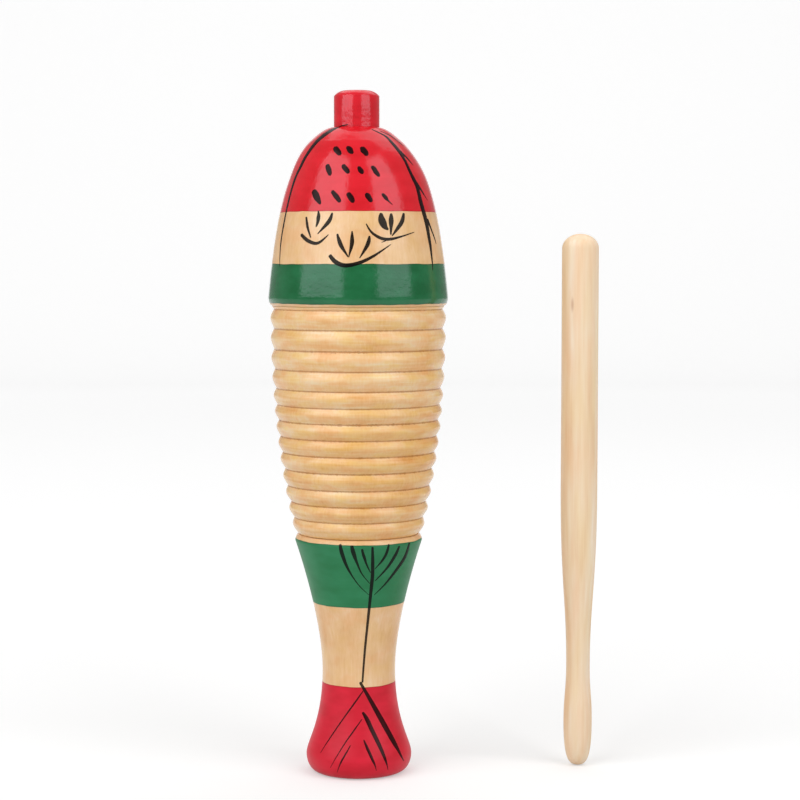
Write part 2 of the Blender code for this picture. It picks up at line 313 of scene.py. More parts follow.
# bare pale hardwood sanded smooth: long straight grain, hardly any gloss, one short brown fleck
def sandedWood(name, piece):
    material, tree, coords = newFinish(name)
    wood, grain = woodGrain(tree, coords, stickWood)
    fleck = piece["fleck"]
    spot = tuple(c * mm for c in fleck["place"])
    across = {"operation": "MULTIPLY", 1: tuple(1 / (c * mm) for c in fleck["size"])}
    offset = addNode(
        tree, "VectorMath", {"operation": "SUBTRACT", 1: spot}, {0: (coords, "Object")},
    )
    shares = addNode(tree, "VectorMath", across, {0: (offset, 0)})
    away = addNode(tree, "VectorMath", {"operation": "LENGTH"}, {0: (shares, 0)})
    ring = {
        "interpolation_type": "SMOOTHSTEP",
        "From Min": 1.0, "From Max": fleck["core"], "To Max": fleck["cover"],
    }
    dark = addNode(tree, "MapRange", ring, {"Value": (away, "Value")})
    colour = addNode(
        tree, "Mix", {"data_type": "RGBA", 7: linearColour(fleck["colour"])},
        {0: (dark, 0), 6: (wood, 2)},
    )
    surface = addNode(tree, "Bump", {"Distance": piece["grainDepth"] * mm}, {"Height": (grain, 0)})
    shader = addNode(
        tree, "BsdfPrincipled", {"IOR": piece["ior"], "Roughness": piece["roughness"]},
        {"Base Color": (colour, 2), "Normal": (surface, "Normal")},
    )
    addNode(tree, "OutputMaterial", {}, {"Surface": (shader, 0)})
    return material


# thin black paint laid on with a small brush: near black, with a trace of the colour under it
def brushedBlack(name, piece):
    material, tree, coords = newFinish(name)
    ground, _ = paintedBands(tree, coords, piece["bands"], piece["paints"])
    pooling = cloudy(tree, coords, *blackPaint["pooling"], detail=3.0)
    thickness = {"To Min": piece["strokeCover"][0], "To Max": piece["strokeCover"][1]}
    cover = addNode(tree, "MapRange", thickness, {"Value": (pooling, "Fac")})
    tone = addNode(
        tree, "Mix", {"data_type": "RGBA", 7: linearColour(blackPaint["colour"])},
        {0: (cover, 0), 6: ground},
    )
    shader = addNode(
        tree, "BsdfPrincipled", {"IOR": blackPaint["ior"], "Roughness": blackPaint["roughness"]},
        {"Base Color": (tone, 2)},
    )
    addNode(tree, "OutputMaterial", {}, {"Surface": (shader, 0)})
    return material


# points along a cubic bend, its first point left out
def bendBetween(start, startPull, endPull, end, count):
    points = []
    for i in range(1, count + 1):
        t = i / count
        shares = ((1 - t) ** 3, 3 * t * (1 - t) ** 2, 3 * t * t * (1 - t), t ** 3)
        pulls = (start, startPull, endPull, end)
        points.append(tuple(sum(s * p[k] for s, p in zip(shares, pulls)) for k in (0, 1)))
    return points


# a point that far from another, at an angle from straight up
def leaning(point, length, degrees):
    angle = math.radians(degrees)
    return (point[0] + length * math.sin(angle), point[1] + length * math.cos(angle))


# points round part of an oval, its first point left out
def roundOff(centre, radii, first, last, count):
    points = []
    for i in range(1, count + 1):
        angle = math.radians(first + (last - first) * i / count)
        across, up = radii[0] * math.cos(angle), radii[1] * math.sin(angle)
        points.append((centre[0] + across, centre[1] + up))
    return points


# one point drawn out along half the piece's section, in mm
def drawOutline(name, outline, axis=(0.0, 0.0)):
    clearSelection()
    bpy.ops.mesh.primitive_plane_add(size=2 * mm)
    piece = bpy.context.object
    piece.name = piece.data.name = name
    bpy.ops.object.mode_set(mode="EDIT")
    bpy.ops.mesh.merge(type="CENTER")
    start = ((axis[0] + outline[0][0]) * mm, axis[1] * mm, outline[0][1] * mm)
    bpy.ops.transform.translate(value=start)
    for before, after in zip(outline, outline[1:]):
        step = ((after[0] - before[0]) * mm, 0, (after[1] - before[1]) * mm)
        bpy.ops.mesh.extrude_region_move(TRANSFORM_OT_translate={"value": step})
    return piece


lathe = {"weld": 0.004, "creaseReach": 0.01, "smoothAngle": 32}  # mm, mm, degrees


# spin the outline; creases are heights in mm
def turnOnLathe(piece, steps, axis=(0.0, 0.0), creases=()):
    bpy.ops.mesh.select_all(action="SELECT")
    centre = (axis[0] * mm, axis[1] * mm, 0)
    bpy.ops.mesh.spin(steps=steps, angle=2 * math.pi, center=centre, axis=(0, 0, 1))
    bpy.ops.mesh.select_all(action="SELECT")
    bpy.ops.mesh.remove_doubles(threshold=lathe["weld"] * mm)
    bpy.ops.mesh.normals_make_consistent(inside=False)
    bpy.ops.object.mode_set(mode="OBJECT")
    bpy.ops.object.shade_smooth_by_angle(angle=math.radians(lathe["smoothAngle"]))
    bpy.ops.object.mode_set(mode="EDIT")
    bpy.ops.mesh.select_mode(type="EDGE")
    bpy.ops.mesh.select_all(action="DESELECT")
    bpy.ops.object.mode_set(mode="OBJECT")
    for edge in piece.data.edges:
        heights = [piece.data.vertices[v].co.z / mm for v in edge.vertices]
        edge.select = any(
            all(abs(height - crease) < lathe["creaseReach"] for height in heights)
            for crease in creases
        )
    bpy.ops.object.mode_set(mode="EDIT")
    bpy.ops.mesh.mark_sharp()
    bpy.ops.mesh.select_mode(type="VERT")
    bpy.ops.object.mode_set(mode="OBJECT")
    return piece


def dress(piece, material, body, node=None):
    piece.data.materials.clear()
    piece.data.materials.append(material)
    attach(piece, body)
    if node:
        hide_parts(node)


# tail handle: foot, flare, waist, collar, and the tenon inside the barrel
tail = {
    "footRadius": 13.0, "footRound": 5.2,
    "flareRadius": 16.35, "flarePull": 3.6,
    "waistRadius": 11.3, "waistHeight": 31.5, "waistPullDown": 16.4, "waistPullUp": 16.6,
    "collarRadius": 19.6, "collarHeight": 72.1, "collarPull": (0.12, 0.45),
    "topRadius": 18.6, "top": 74.2, "topPull": (0.65, 0.25),
    "tenonRadius": 14.9, "tenonTop": 86.0, "tenonBevel": 0.6,
    "footPoints": 14, "flarePoints": 44, "waistPoints": 56, "collarPoints": 8, "steps": 192,
    "gloss": 0.44, "ior": 1.38, "stipple": 0.02, "strokeCover": (0.92, 0.98),
    "bands": [("red", -1.0, 28.05), ("green", 53.0, 72.9)],
    "paints": {
        "red": [(0.33, "#CB1328"), (0.67, "#DA1C33")],
        "green": [(0.33, "#227445"), (0.67, "#2D8052")],
    },
}

flare = (tail["flareRadius"], tail["footRound"])
waist = (tail["waistRadius"], tail["waistHeight"])
collar = (tail["collarRadius"], tail["collarHeight"])
outline = [(0.0, 0.0), (tail["footRadius"] / 2, 0.0), (tail["footRadius"], 0.0)]
outline += roundOff(
    (tail["footRadius"], tail["footRound"]),
    (tail["flareRadius"] - tail["footRadius"], tail["footRound"]), -90, 0, tail["footPoints"],
)
outline += bendBetween(
    flare, leaning(flare, tail["flarePull"], 0),
    leaning(waist, tail["waistPullDown"], 180), waist, tail["flarePoints"],
)
outline += bendBetween(
    waist, leaning(waist, tail["waistPullUp"], 0), collar, collar, tail["waistPoints"],
)
outline += bendBetween(
    collar, (collar[0] + tail["collarPull"][0], collar[1] + tail["collarPull"][1]),
    (tail["topRadius"] + tail["topPull"][0], tail["top"] - tail["topPull"][1]),
    (tail["topRadius"], tail["top"]), tail["collarPoints"],
)
outline += [
    (tail["tenonRadius"], tail["top"]),
    (tail["tenonRadius"], tail["tenonTop"] - tail["tenonBevel"]),
    (tail["tenonRadius"] - tail["tenonBevel"], tail["tenonTop"]), (0.0, tail["tenonTop"]),
]
paintedTail = turnOnLathe(drawOutline("paintedTail", outline), tail["steps"])
tailEnamel = brushedEnamel("brushedEnamelTail", tail)
dress(paintedTail, tailEnamel, "guiro", "tail_handle")
print("tail handle turned")


# barrel: nine narrow ribs below and four wide ones above, no two quite alike
barrel = {
    "foot": 74.3,
    "neckTop": 144.48, "neckRadius": 26.4, "neckEdge": 0.2, "neckTuck": 0.1, "neckTuckDrop": 0.45,
    "ribHeights": [5.1, 4.9, 5.0, 5.2, 5.1, 5.0, 4.9, 4.8, 5.0, 6.0, 6.0, 6.3, 5.98],
    "grooveDepth": 1.10, "depthSpread": 0.10, "crestRound": 0.42, "crestPlace": 0.55,
    "footRadius": 19.7, "topRadius": 27.0, "taperPower": 2.25,
    "bore": 15.2, "spigotRadius": 20.55, "spigotTop": 154.2,
    # how badly each groove, counted from the foot, is torn, and all the others
    "tornGrooves": {2: 0.15, 3: 0.2, 4: 0.2, 5: 0.2, 6: 0.25, 7: 0.45, 9: 0.15, 11: 0.25},
    "leastTorn": 0.1,
    "chipLength": 0.5, "chipHeight": 2.5, "chipDepth": 0.22, "chipReach": 1.1,  # mm
    "chipShift": 9.1,  # so that each groove has its own chips
    "wobble": 0.05, "wobbleLength": 9.0, "wobbleHeight": 3.0,  # mm
    "boreMargin": 1.0, "neckMargin": 0.3, "footMargin": 0.01,  # mm, past these it stays plain
    "ribPoints": 12, "steps": 448, "seed": 7,
}

chance = random.Random(barrel["seed"])
ribsLength = sum(barrel["ribHeights"])
grooveCount = len(barrel["ribHeights"]) + 1
grooves = [
    barrel["grooveDepth"] * (1 + chance.uniform(-1, 1) * barrel["depthSpread"])
    for _ in range(grooveCount)
]
grooves[0] = grooves[-1] = barrel["grooveDepth"]
grooveHeights = [sum(barrel["ribHeights"][:i]) for i in range(grooveCount)]


def crestRadius(height):  # mm above the barrel's foot
    below = max(0.0, 1 - height / ribsLength)
    taper = barrel["topRadius"] - barrel["footRadius"]
    return barrel["topRadius"] - taper * below ** barrel["taperPower"]


crest = barrel["crestPlace"]
wholeFall = math.hypot(1, barrel["crestRound"]) - barrel["crestRound"]
outline = [(barrel["bore"], barrel["foot"]), (barrel["footRadius"] - grooves[0], barrel["foot"])]
for number, pitch in enumerate(barrel["ribHeights"]):
    for i in range(1, barrel["ribPoints"] + 1):
        share = i / barrel["ribPoints"]
        here = grooveHeights[number] + pitch * share
        away = (share - crest) / (1 - crest if share > crest else crest)
        fall = (math.hypot(away, barrel["crestRound"]) - barrel["crestRound"]) / wholeFall
        depth = grooves[number + 1] if share > crest else grooves[number]
        outline.append((crestRadius(here) - depth * fall, barrel["foot"] + here))
outline += [
    (barrel["neckRadius"] - barrel["neckTuck"], barrel["neckTop"] - barrel["neckTuckDrop"]),
    (barrel["neckRadius"], barrel["neckTop"] - barrel["neckEdge"]),
    (barrel["neckRadius"], barrel["neckTop"]),
    (barrel["spigotRadius"], barrel["neckTop"]), (barrel["spigotRadius"], barrel["spigotTop"]),
    (barrel["bore"], barrel["spigotTop"]),
    (barrel["bore"], (barrel["spigotTop"] + barrel["foot"]) / 2), (barrel["bore"], barrel["foot"]),
]
ribbedBarrel = turnOnLathe(drawOutline("ribbedBarrelTurned", outline), barrel["steps"])

# chip the edges of the torn grooves, and note on each point how deep it lies and how torn it is
depthNote = ribbedBarrel.data.attributes.new("grooveDepth", "FLOAT", "POINT")
tornNote = ribbedBarrel.data.attributes.new("tornGrain", "FLOAT", "POINT")
for vertex in ribbedBarrel.data.vertices:
    radius = math.hypot(vertex.co.x, vertex.co.y) / mm
    over = vertex.co.z / mm - barrel["foot"]
    inBore = radius < barrel["bore"] + barrel["boreMargin"]
    onNeck = over > ribsLength + barrel["neckMargin"]
    if inBore or onNeck or over < -barrel["footMargin"]:
        continue
    number = min(range(grooveCount), key=lambda n: abs(grooveHeights[n] - over))
    near = max(0.0, 1 - abs(grooveHeights[number] - over) / barrel["chipReach"])
    around = math.atan2(vertex.co.y, vertex.co.x) * radius / barrel["chipLength"]
    chip = noise.noise((around, barrel["chipShift"] * number, over / barrel["chipHeight"]))
    torn = barrel["tornGrooves"].get(number, barrel["leastTorn"]) * max(0.0, chip) * near
    sideways = [c / mm / barrel["wobbleLength"] for c in vertex.co[:2]]
    slow = noise.noise((*sideways, over / barrel["wobbleHeight"])) * barrel["wobble"] * (1 - near)
    depthNote.data[vertex.index].value = max(0.0, (crestRadius(over) - radius) / grooves[number])
    tornNote.data[vertex.index].value = torn
    smaller = (radius - barrel["chipDepth"] * torn + slow) / radius
    vertex.co.x *= smaller
    vertex.co.y *= smaller
barrelLacquer = lacqueredRibs("lacqueredRibbedWood")
dress(ribbedBarrel, barrelLacquer, "guiro", "ribbed_barrel")
print("barrel turned,", len(barrel["ribHeights"]), "ribs")


# head: rounded rim, curved side, crease, shoulder, and the drilled chamber inside
head = {
    "base": 144.52, "rimRadius": 27.6, "rimTuck": 1.3, "rimRound": 2.6,
    "rimPull": 27.5, "rimLean": 5.3,
    "shoulderRadius": 14.4, "shoulderHeight": 194.32, "sidePull": 9.8, "sideLean": 44.0,
    "coneLean": 48.5, "conePull": 3.4, "rootLean": 80.0, "rootPull": 2.7, "top": 198.92,
    "holeRadius": 7.3, "holeFloor": 189.62, "mouthRadius": 3.5, "passageFoot": 184.62,
    "bore": 15.2, "drillFoot": 177.6, "socketRadius": 20.85, "socketTop": 154.82,
    # the turned top sits a touch to one side
    "drift": -0.7, "driftFoot": 182.0, "driftTop": 196.0,  # mm
    "rimPoints": 10, "sidePoints": 72, "conePoints": 14, "steps": 224,
    "gloss": 0.15, "ior": 1.48, "stipple": 0.055, "strokeCover": (0.96, 0.995),
    "bands": [("green", 145.35, 157.4), ("red", 173.0, 220.0)],
    "paints": {
        "red": [(0.33, "#D1111D"), (0.67, "#DE1A27")],
        "green": [(0.33, "#0F5F31"), (0.67, "#1C6D3F")],
    },
}

rim = (head["rimRadius"], head["base"] + head["rimRound"])
shoulder = (head["shoulderRadius"], head["shoulderHeight"])
snoutRoot = (head["holeRadius"], head["top"])
rimInside = head["rimRadius"] - head["rimTuck"]
outline = [(head["socketRadius"], head["base"]), (rimInside, head["base"])]
outline += roundOff(
    (rimInside, rim[1]), (head["rimTuck"], head["rimRound"]), -90, 0, head["rimPoints"],
)
outline += bendBetween(
    rim, leaning(rim, head["rimPull"], -head["rimLean"]),
    leaning(shoulder, head["sidePull"], 180 - head["sideLean"]), shoulder, head["sidePoints"],
)
outline += bendBetween(
    shoulder, leaning(shoulder, head["conePull"], -head["coneLean"]),
    leaning(snoutRoot, head["rootPull"], 180 - head["rootLean"]), snoutRoot, head["conePoints"],
)
outline += [
    (head["holeRadius"], head["holeFloor"]), (head["mouthRadius"], head["holeFloor"]),
    (head["mouthRadius"], head["passageFoot"]), (head["bore"], head["drillFoot"]),
    (head["bore"], head["socketTop"]), (head["socketRadius"], head["socketTop"]),
    (head["socketRadius"], head["base"]),
]
paintedHead = turnOnLathe(
    drawOutline("paintedHead", outline), head["steps"], creases=[head["shoulderHeight"]],
)
for vertex in paintedHead.data.vertices:
    rise = (vertex.co.z / mm - head["driftFoot"]) / (head["driftTop"] - head["driftFoot"])
    rise = min(max(rise, 0.0), 1.0)
    vertex.co.x += head["drift"] * mm * rise * rise * (3 - 2 * rise)
headEnamel = brushedEnamel("brushedEnamelHead", head)
dress(paintedHead, headEnamel, "guiro", "head")
print("head turned")


# mouth tube: a bored dowel with a well-rounded lip
mouth = {
    "base": 189.92, "top": 210.0, "radius": 7.0, "bore": 3.5, "rings": (195.0, 198.9, 201.0, 204.0),
    "lipRound": 2.4, "lipHeight": 1.7, "lipBevel": 0.5, "lipInside": 0.2,
    "drift": -0.42,  # mm, with the top of the head
    "lipPoints": 14, "steps": 128,
    "gloss": 0.13, "ior": 1.5, "stipple": 0.05,
    "bands": [("red", 160.0, 220.0)], "paints": {"red": [(0.33, "#CA101D"), (0.67, "#DC1A29")]},
}

lip = mouth["top"] - mouth["lipHeight"]
outline = [(mouth["bore"], mouth["base"]), (mouth["radius"], mouth["base"])]
outline += [(mouth["radius"], z) for z in (*mouth["rings"], lip)]
for across, up in roundOff((0.0, 0.0), (1.0, 1.0), 0, 90, mouth["lipPoints"]):
    flat = mouth["lipBevel"] * (across + up - 1) / 2  # between round and bevel
    outline.append((
        mouth["radius"] - mouth["lipRound"] * (1 - across + flat),
        lip + mouth["lipHeight"] * (up - flat),
    ))
outline += [
    (mouth["bore"], mouth["top"] - mouth["lipInside"]), (mouth["bore"], mouth["rings"][-1]),
    (mouth["bore"], mouth["base"]),
]
mouthAxis = (mouth["drift"], 0.0)
paintedMouth = turnOnLathe(
    drawOutline("paintedMouthTube", outline, mouthAxis), mouth["steps"], mouthAxis,
)
mouthEnamel = brushedEnamel("brushedEnamelMouth", mouth)
dress(paintedMouth, mouthEnamel, "guiro", "mouth_tube")
print("mouth tube turned")


# scraper stick: bead at the tip, slim neck, straight shaft, domed butt
stick = {
    "place": (68.7, 5.5), "length": 166.6,
    "tipPull": 2.35,
    "beadRadius": 4.44, "beadHeight": 14.0, "beadPullDown": 13.6, "beadPullUp": 8.0,
    "neckRadius": 3.69, "neckHeight": 31.5, "neckPullDown": 8.0, "neckPullUp": 21.0,
    "shaftRadius": 5.7, "shaftHeight": 88.0, "shaftPullDown": 31.0, "buttDome": 4.5,
    "tipPoints": 24, "neckPoints": 24, "taperPoints": 36, "buttPoints": 14, "steps": 96,
    "shaftRings": range(96, 160, 8),  # heights in mm
    "roughness": 0.55, "ior": 1.45, "grainDepth": 0.015,  # mm
    "fleck": {
        "place": (65.9, 0.6, 144.8), "size": (0.7, 1.2, 3.2),  # mm
        "colour": "#BC8258", "core": 0.1, "cover": 0.5,
    },
}

tip = (0.0, 0.0)
bead = (stick["beadRadius"], stick["beadHeight"])
neck = (stick["neckRadius"], stick["neckHeight"])
shaft = (stick["shaftRadius"], stick["shaftHeight"])
butt = (stick["shaftRadius"], stick["length"] - stick["buttDome"])
outline = [tip]
outline += bendBetween(
    tip, leaning(tip, stick["tipPull"], 90),
    leaning(bead, stick["beadPullDown"], 180), bead, stick["tipPoints"],
)
outline += bendBetween(
    bead, leaning(bead, stick["beadPullUp"], 0),
    leaning(neck, stick["neckPullDown"], 180), neck, stick["neckPoints"],
)
outline += bendBetween(
    neck, leaning(neck, stick["neckPullUp"], 0),
    leaning(shaft, stick["shaftPullDown"], 180), shaft, stick["taperPoints"],
)
outline += [(stick["shaftRadius"], z) for z in stick["shaftRings"]] + [butt]
outline += roundOff(
    (0.0, butt[1]), (stick["shaftRadius"], stick["buttDome"]), 0, 90, stick["buttPoints"],
)
outline[-1] = (0.0, stick["length"])  # the butt closes on the axis itself
turnedStick = turnOnLathe(
    drawOutline("turnedStick", outline, stick["place"]), stick["steps"], stick["place"],
)
stickFinish = sandedWood("sandedStickWood", stick)
dress(turnedStick, stickFinish, "stick", "scraper_stick")
print("stick turned")


# black brush strokes, each a run of (x, y, width) in pixels of the camera's picture,
# pressed on to the wood behind it
strokeFilm = {
    "lift": 0.05, "edgeLift": 0.012, "sink": 0.10, "weld": 0.001,  # mm
    "across": 4, "pixelsPerStep": 1.2, "leastRows": 8, "leastWidth": 0.3, "lookAhead": 0.01,
    "widest": 3.0,  # times the width in view, where the wood turns away
    "capLength": 0.6,  # rounded ends, as a share of the width
    "ragged": 0.08, "waves": 9, "waveSpread": 4, "waveShift": 6, "draws": 8,  # uneven edges
    "smoothAngle": 50,  # degrees
    "seed": 11,
}

headStrokes = [
    # seeds
    [(334.4, 146.6, 4.4), (337.4, 150.8, 6.2), (340.4, 155.4, 4.0)],
    [(347.2, 146.0, 3.8), (349.8, 149.8, 5.8), (352.8, 154.0, 3.6)],
    [(361.2, 146.6, 4.2), (364.2, 150.9, 6.2), (367.4, 156.0, 3.8)],
    [(327.2, 164.0, 3.8), (328.6, 169.6, 5.6), (330.4, 175.8, 3.2)],
    [(342.7, 164.2, 3.8), (345.5, 168.8, 5.6), (349.2, 173.4, 3.4)],
    [(358.2, 166.2, 3.4), (360.6, 170.2, 5.0), (363.0, 174.0, 3.2)],
    [(371.8, 165.6, 3.2), (375.4, 171.0, 5.0), (379.4, 176.8, 2.8)],
    [(312.8, 190.2, 4.8), (316.4, 196.0, 7.2), (320.6, 204.4, 2.2)],
    [(331.8, 190.4, 3.4), (336.0, 196.2, 5.5), (340.4, 202.4, 3.0)],
    [(347.6, 192.4, 4.2), (350.6, 197.4, 6.2), (353.8, 202.8, 3.0)],
    [(366.0, 192.8, 3.8), (368.8, 197.4, 5.6), (372.0, 202.2, 3.0)],
    [(381.9, 193.2, 2.6), (385.6, 197.8, 4.0), (388.6, 201.0, 1.6), (392.8, 205.0, 0.6)],
    # left sprig
    [(300.8, 234.2, 3.0), (307.8, 240.7, 3.9), (317.8, 243.0, 3.0), (328.8, 234.4, 0.9)],
    [(306.2, 216.6, 2.0), (307.6, 226.8, 2.5), (310.8, 238.0, 1.3)],
    [(318.2, 210.4, 1.0), (318.5, 218.0, 4.0), (316.0, 227.4, 1.0)],
    [(332.4, 212.6, 1.8), (328.6, 221.6, 4.0), (317.4, 234.2, 0.8)],
    # middle sprig
    [
        (329.4, 254.8, 3.4), (335.6, 261.8, 4.5), (345.3, 265.4, 4.5), (359.0, 263.0, 3.8),
        (373.4, 256.2, 2.6), (391.2, 244.2, 0.7),
    ],
    [(337.3, 233.6, 1.8), (340.2, 243.6, 4.2), (348.2, 257.2, 1.2)],
    [(352.0, 230.8, 1.2), (352.0, 242.0, 4.2), (348.7, 257.6, 0.8)],
    [(369.6, 235.6, 1.6), (367.6, 244.6, 4.2), (359.4, 258.4, 0.9)],
    # right sprig
    [
        (365.9, 223.4, 1.1), (371.4, 232.0, 2.5), (380.6, 238.0, 3.1), (390.2, 239.2, 2.8),
        (401.8, 236.4, 1.9), (414.6, 232.0, 0.7),
    ],
    [(381.2, 242.6, 0.6), (386.2, 240.4, 1.1), (391.2, 237.4, 0.8)],
    [(380.9, 212.6, 3.0), (381.7, 219.2, 6.8), (384.4, 226.0, 6.2), (388.6, 229.8, 1.8)],
    [(391.1, 213.0, 1.9), (391.3, 220.6, 4.9), (391.0, 228.6, 2.8), (390.8, 235.0, 1.5)],
    [(404.0, 212.8, 2.0), (402.3, 220.4, 4.0), (398.0, 228.0, 3.4), (391.8, 236.2, 1.0)],
    # left fin line
    [
        (348.0, 124.4, 0.8), (336.4, 127.8, 2.4), (327.4, 132.6, 4.2), (316.4, 141.8, 4.2),
        (306.6, 155.2, 3.4), (300.2, 167.6, 2.8), (294.6, 180.0, 2.2), (288.8, 200.0, 1.8),
        (283.9, 223.2, 1.5), (280.6, 245.0, 1.2), (279.6, 266.6, 0.6),
    ],
    # right fin line and its branches
    [
        (371.5, 129.2, 0.8), (385.0, 135.9, 2.0), (391.8, 142.6, 3.0), (398.8, 150.8, 3.6),
        (405.0, 160.6, 2.8), (409.4, 170.2, 2.8), (413.7, 179.0, 3.6), (416.8, 185.0, 3.8),
        (418.6, 192.0, 3.3), (420.7, 201.3, 3.7), (422.9, 209.4, 3.8), (425.2, 217.8, 3.8),
        (427.2, 227.0, 3.5), (428.6, 235.6, 3.1), (430.4, 246.4, 2.4), (432.2, 261.9, 1.3),
        (432.8, 270.6, 0.5),
    ],
    [(379.8, 130.8, 0.6), (392.4, 137.0, 1.2), (404.0, 146.4, 0.5)],
    [(399.0, 150.2, 2.2), (407.6, 158.6, 1.5), (413.2, 165.4, 0.5)],
    [(416.8, 183.0, 2.2), (421.4, 190.4, 1.6), (427.6, 200.4, 0.5)],
    [(427.0, 218.6, 2.2), (433.2, 234.4, 1.3), (436.2, 244.0, 0.5)],
]

tailStrokes = [
    # spread of the tail, above
    [
        (340.0, 544.0, 2.6), (342.0, 553.0, 4.0), (346.6, 566.0, 2.8), (353.0, 577.4, 1.4),
        (360.4, 587.0, 0.9), (369.0, 595.0, 0.5),
    ],
    [
        (351.6, 545.4, 2.8), (353.4, 553.0, 4.2), (357.0, 563.0, 2.6), (362.0, 574.0, 1.3),
        (370.0, 583.8, 0.6),
    ],
    [(362.0, 548.8, 2.0), (363.8, 556.0, 3.0), (366.2, 563.4, 2.0), (370.6, 573.0, 0.8)],
    [
        (372.6, 546.8, 2.2), (372.7, 560.0, 3.4), (372.4, 575.0, 3.6), (371.0, 590.0, 3.2),
        (368.0, 620.0, 2.5), (365.0, 650.0, 2.3), (362.4, 683.0, 2.0),
    ],
    [(389.0, 543.8, 1.6), (387.0, 552.0, 2.7), (382.0, 561.0, 2.0), (374.6, 569.2, 0.7)],
    [(399.4, 545.8, 1.6), (395.0, 556.0, 2.9), (387.0, 568.0, 2.3), (374.8, 581.2, 0.7)],
    [
        (409.6, 542.8, 1.6), (404.8, 557.0, 3.1), (394.0, 573.0, 2.5), (385.0, 584.2, 1.6),
        (374.0, 595.2, 0.6),
    ],
    # rays of the tail, below
    [
        (359.8, 681.8, 2.8), (375.0, 708.2, 4.4), (391.8, 738.4, 4.1), (398.2, 750.0, 2.8),
        (403.8, 761.0, 0.7),
    ],
    [
        (362.4, 712.0, 2.2), (367.0, 719.0, 4.1), (372.4, 731.0, 4.1), (379.0, 745.0, 3.8),
        (384.4, 757.2, 2.8), (387.2, 765.4, 1.2), (388.0, 770.4, 0.4),
    ],
    [
        (363.7, 739.6, 1.2), (367.6, 748.9, 2.9), (372.0, 758.9, 2.6), (375.1, 765.6, 1.3),
        (376.4, 771.0, 0.4),
    ],
    [
        (363.4, 690.6, 1.0), (353.2, 705.0, 1.5), (339.8, 723.6, 1.2), (326.6, 743.2, 0.8),
        (320.4, 753.2, 0.4),
    ],
    [
        (362.2, 718.8, 0.8), (353.1, 731.7, 1.3), (344.2, 744.4, 1.1), (335.9, 757.8, 0.7),
        (330.2, 768.0, 0.4),
    ],
    [
        (350.8, 745.0, 0.8), (346.4, 752.8, 1.4), (341.6, 761.0, 1.5), (338.7, 767.6, 0.9),
        (337.2, 772.6, 0.4),
    ],
]

focalPixels = cameraSetup["lens"] / cameraSetup["sensor"] * cameraSetup["frame"]
brushChance = random.Random(strokeFilm["seed"])


# a point (x, y, width) that far along a smooth line through the stroke's points
def smoothRun(stroke, share):
    span = share * (len(stroke) - 1)
    i = min(int(span), len(stroke) - 2)
    t = span - i
    before = stroke[max(i - 1, 0)]
    after = stroke[min(i + 2, len(stroke) - 1)]
    made = []
    for p0, p1, p2, p3 in zip(before, stroke[i], stroke[i + 1], after):
        bend = 2 * p0 - 5 * p1 + 4 * p2 - p3 + t * (3 * (p1 - p2) + p3 - p0)
        made.append(p1 + 0.5 * t * (p2 - p0 + t * bend))
    return made[0], made[1], max(made[2], strokeFilm["leastWidth"])


# where the sight line through a pixel first meets wood, and the way the wood faces there
def pressedOn(surfaces, run):
    half = cameraSetup["frame"] / 2
    aim = Vector(((run[0] - half) / focalPixels, (half - run[1]) / focalPixels, -1.0))
    sight = (camera.matrix_world.to_3x3() @ aim).normalized()
    meets = [surface.ray_cast(camera.matrix_world.translation, sight) for surface in surfaces]
    spot, facing, _, _ = min((m for m in meets if m[0]), key=lambda m: m[3])
    return spot, facing


def layStroke(surfaces, stroke):  # one thin film, a grid bent along the stroke
    length = sum(math.dist(a[:2], b[:2]) for a, b in zip(stroke, stroke[1:]))
    rows = max(strokeFilm["leastRows"], round(length / strokeFilm["pixelsPerStep"]))
    clearSelection()
    bpy.ops.mesh.primitive_grid_add(
        x_subdivisions=strokeFilm["across"], y_subdivisions=rows, size=1,
    )
    film = bpy.context.object
    ragged = [brushChance.uniform(-1, 1) for _ in range(strokeFilm["draws"])]
    toCamera = camera.matrix_world.to_3x3().transposed()
    for vertex in film.data.vertices:
        side, share = 2 * vertex.co.x, vertex.co.y + 0.5
        run = smoothRun(stroke, share)
        spot, facing = pressedOn(surfaces, run)
        further = min(share + strokeFilm["lookAhead"], 1.0)
        nearer = max(share - strokeFilm["lookAhead"], 0.0)
        ahead, _ = pressedOn(surfaces, smoothRun(stroke, further))
        behind, _ = pressedOn(surfaces, smoothRun(stroke, nearer))
        along = (ahead - behind).normalized()
        sideways = along.cross(facing).normalized()
        seenAlong, seenAcross = (toCamera @ along).to_2d(), (toCamera @ sideways).to_2d()
        shown = abs(seenAlong.normalized().cross(seenAcross))  # how much of the width is in view
        toEnd = min(share, 1 - share) * length
        cap = min(1.0, toEnd / (strokeFilm["capLength"] * max(run[2], 1.0)))
        half = run[2] / 2 * math.sqrt(1 - (1 - cap) ** 2)
        waves = strokeFilm["waves"] + strokeFilm["waveSpread"] * ragged[0]
        wave = math.sin(share * waves + strokeFilm["waveShift"] * ragged[1 if side < 0 else 2])
        half *= (1 + strokeFilm["ragged"] * wave) / max(shown, 1 / strokeFilm["widest"])
        pixel = (spot - camera.matrix_world.translation).length / focalPixels
        reach = spot + sideways * side * half * pixel
        nearest = [surface.find_nearest(reach) for surface in surfaces]
        spot, facing, _, _ = min(nearest, key=lambda n: n[3])
        crown = (strokeFilm["lift"] - strokeFilm["edgeLift"]) * (1 - side * side)
        vertex.co = spot + facing * (strokeFilm["edgeLift"] + crown) * mm
    return film


